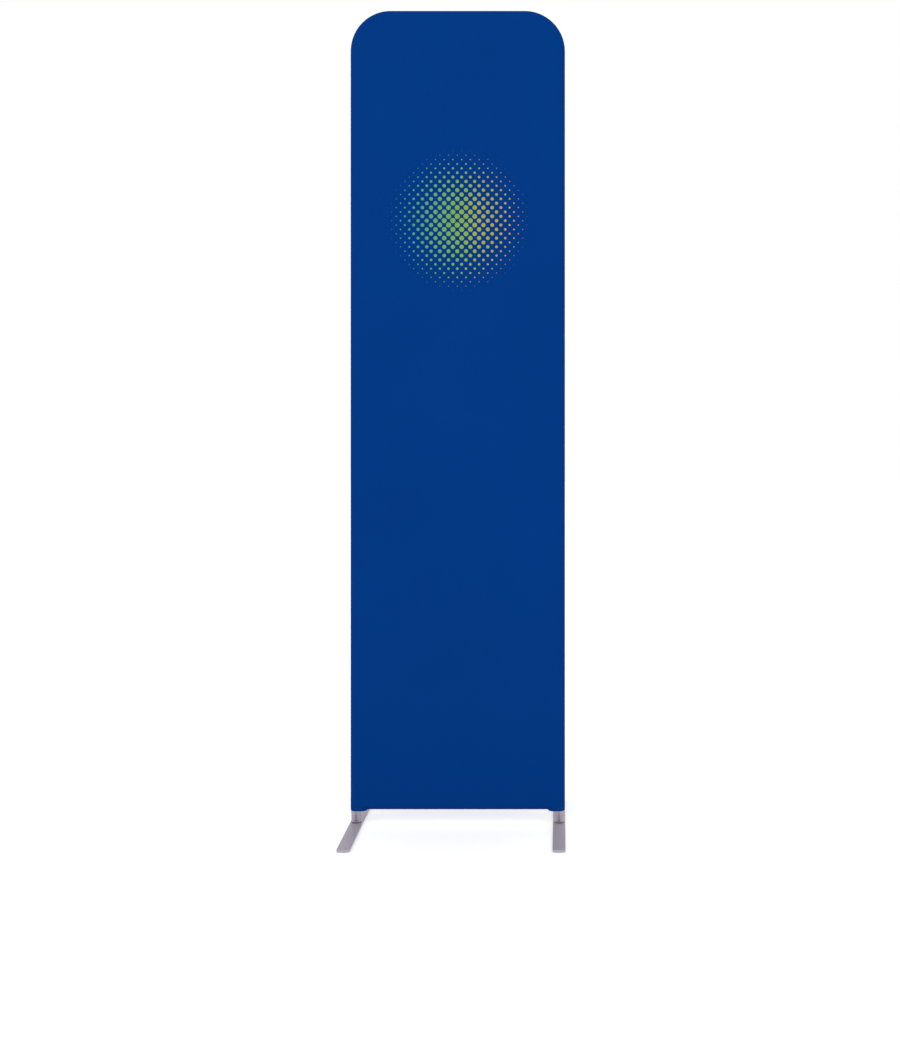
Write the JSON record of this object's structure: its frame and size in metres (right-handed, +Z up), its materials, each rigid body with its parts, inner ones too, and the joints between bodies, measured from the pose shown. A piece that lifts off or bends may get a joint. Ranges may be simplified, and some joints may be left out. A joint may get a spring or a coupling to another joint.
{
  "type": "fabric display wall",
  "caption": "Tall free-standing display wall: blue stretch fabric cover with rounded top corners over a plug-together tube frame, on flat swivel feet.",
  "frame": {"origin": "on the floor, below the middle of the wall", "axes": "+Z up, +X along the wall to the viewer's right, the front faces -Y"},
  "size_m": [0.6128, 0.4, 2.32],
  "materials": {
    "cover_fabric": "blue stretch polyester knit",
    "frame_tube": "satin anodised tube",
    "spigot": "mill finish tube",
    "rivet": "plain blind rivets",
    "button": "zinc plated",
    "spring_steel": "blued spring steel",
    "foot_post": "turned, satin",
    "washer": "black nylon",
    "bolt": "zinc plated",
    "foot_plate": "silver grey powder coat",
    "foot_pad": "black rubber",
    "zip_tape": "dyed woven tape",
    "zip_teeth": "moulded acetal",
    "zip_metal": "enamelled die casting"
  },
  "bodies": {
    "frame": {"left_lower_upright": "frame_tube", "left_middle_upright": "frame_tube", "left_upper_upright": "frame_tube", "left_top_corner": "frame_tube", "left_lower_spigot": "spigot", "left_middle_spigot": "spigot", "left_upper_spigot": "spigot", "left_spreader_spigot": "spigot", "left_crossbar_lug": "spigot", "left_button_springs": "spring_steel", "left_foot_post": "foot_post", "left_swivel_washer": "washer", "left_swivel_bolt": "bolt", "right_lower_upright": "frame_tube", "right_middle_upright": "frame_tube", "right_upper_upright": "frame_tube", "right_top_corner": "frame_tube", "right_lower_spigot": "spigot", "right_middle_spigot": "spigot", "right_upper_spigot": "spigot", "right_spreader_spigot": "spigot", "right_crossbar_lug": "spigot", "right_button_springs": "spring_steel", "right_foot_post": "foot_post", "right_swivel_washer": "washer", "right_swivel_bolt": "bolt", "top_spreader": "frame_tube", "bottom_crossbar": "frame_tube", "spigot_rivets": "rivet", "front_panel": "cover_fabric", "back_panel": "cover_fabric", "zip_front_tape": "zip_tape", "zip_back_tape": "zip_tape", "zip_front_teeth": "zip_teeth", "zip_back_teeth": "zip_teeth", "zip_stops": "zip_teeth"},
    "left_foot": {"left_foot_plate": "foot_plate", "left_foot_pads": "foot_pad"},
    "left_lower_button": {"left_lower_button": "button"},
    "left_middle_button": {"left_middle_button": "button"},
    "left_upper_button": {"left_upper_button": "button"},
    "left_spreader_button": {"left_spreader_button": "button"},
    "left_crossbar_button": {"left_crossbar_button": "button"},
    "left_foot_button": {"left_foot_button": "button"},
    "right_foot": {"right_foot_plate": "foot_plate", "right_foot_pads": "foot_pad"},
    "right_lower_button": {"right_lower_button": "button"},
    "right_middle_button": {"right_middle_button": "button"},
    "right_upper_button": {"right_upper_button": "button"},
    "right_spreader_button": {"right_spreader_button": "button"},
    "right_crossbar_button": {"right_crossbar_button": "button"},
    "right_foot_button": {"right_foot_button": "button"},
    "zip_slider": {"zip_slider": "zip_metal"},
    "zip_pull": {"zip_pull": "zip_metal"}
  },
  "joints": [
    {"name": "left_foot_swivel", "type": "hinge", "parent": "frame", "child": "left_foot", "pos_m": [-0.2889, 0, 0.008], "axis": [0, 0, 1], "range_deg": [-90, 90]},
    {"name": "left_lower_button_press", "type": "slide", "parent": "frame", "child": "left_lower_button", "axis": [-1, 0, 0], "range_m": [0, 0.0042], "stiffness_N_per_m": 800, "springref_m": -0.002, "deforming": ["left_button_springs"]},
    {"name": "left_middle_button_press", "type": "slide", "parent": "frame", "child": "left_middle_button", "axis": [-1, 0, 0], "range_m": [0, 0.0042], "stiffness_N_per_m": 800, "springref_m": -0.002, "deforming": ["left_button_springs"]},
    {"name": "left_upper_button_press", "type": "slide", "parent": "frame", "child": "left_upper_button", "axis": [-1, 0, 0], "range_m": [0, 0.0042], "stiffness_N_per_m": 800, "springref_m": -0.002, "deforming": ["left_button_springs"]},
    {"name": "left_spreader_button_press", "type": "slide", "parent": "frame", "child": "left_spreader_button", "axis": [0, 0, 1], "range_m": [0, 0.0042], "stiffness_N_per_m": 800, "springref_m": -0.002, "deforming": ["left_button_springs"]},
    {"name": "left_crossbar_button_press", "type": "slide", "parent": "frame", "child": "left_crossbar_button", "axis": [0, 0, -1], "range_m": [0, 0.0042], "stiffness_N_per_m": 800, "springref_m": -0.002, "deforming": ["left_button_springs"]},
    {"name": "left_foot_button_press", "type": "slide", "parent": "frame", "child": "left_foot_button", "axis": [-1, 0, 0], "range_m": [0, 0.0042], "stiffness_N_per_m": 800, "springref_m": -0.002, "deforming": ["left_button_springs"]},
    {"name": "right_foot_swivel", "type": "hinge", "parent": "frame", "child": "right_foot", "pos_m": [0.2889, 0, 0.008], "axis": [0, 0, 1], "range_deg": [-90, 90]},
    {"name": "right_lower_button_press", "type": "slide", "parent": "frame", "child": "right_lower_button", "axis": [1, 0, 0], "range_m": [0, 0.0042], "stiffness_N_per_m": 800, "springref_m": -0.002, "deforming": ["right_button_springs"]},
    {"name": "right_middle_button_press", "type": "slide", "parent": "frame", "child": "right_middle_button", "axis": [1, 0, 0], "range_m": [0, 0.0042], "stiffness_N_per_m": 800, "springref_m": -0.002, "deforming": ["right_button_springs"]},
    {"name": "right_upper_button_press", "type": "slide", "parent": "frame", "child": "right_upper_button", "axis": [1, 0, 0], "range_m": [0, 0.0042], "stiffness_N_per_m": 800, "springref_m": -0.002, "deforming": ["right_button_springs"]},
    {"name": "right_spreader_button_press", "type": "slide", "parent": "frame", "child": "right_spreader_button", "axis": [0, 0, 1], "range_m": [0, 0.0042], "stiffness_N_per_m": 800, "springref_m": -0.002, "deforming": ["right_button_springs"]},
    {"name": "right_crossbar_button_press", "type": "slide", "parent": "frame", "child": "right_crossbar_button", "axis": [0, 0, -1], "range_m": [0, 0.0042], "stiffness_N_per_m": 800, "springref_m": -0.002, "deforming": ["right_button_springs"]},
    {"name": "right_foot_button_press", "type": "slide", "parent": "frame", "child": "right_foot_button", "axis": [1, 0, 0], "range_m": [0, 0.0042], "stiffness_N_per_m": 800, "springref_m": -0.002, "deforming": ["right_button_springs"]},
    {"name": "zip_run", "type": "slide", "parent": "frame", "child": "zip_slider", "axis": [-1, 0, 0], "range_m": [0, 0.458], "deforming": ["zip_front_tape", "zip_back_tape", "zip_front_teeth", "zip_back_teeth"]},
    {"name": "zip_pull_swing", "type": "hinge", "parent": "zip_slider", "child": "zip_pull", "pos_m": [0.2308, 0.00928, 0.04503], "axis": [0, -0.866, -0.5], "range_deg": [0, 180]}
  ]
}
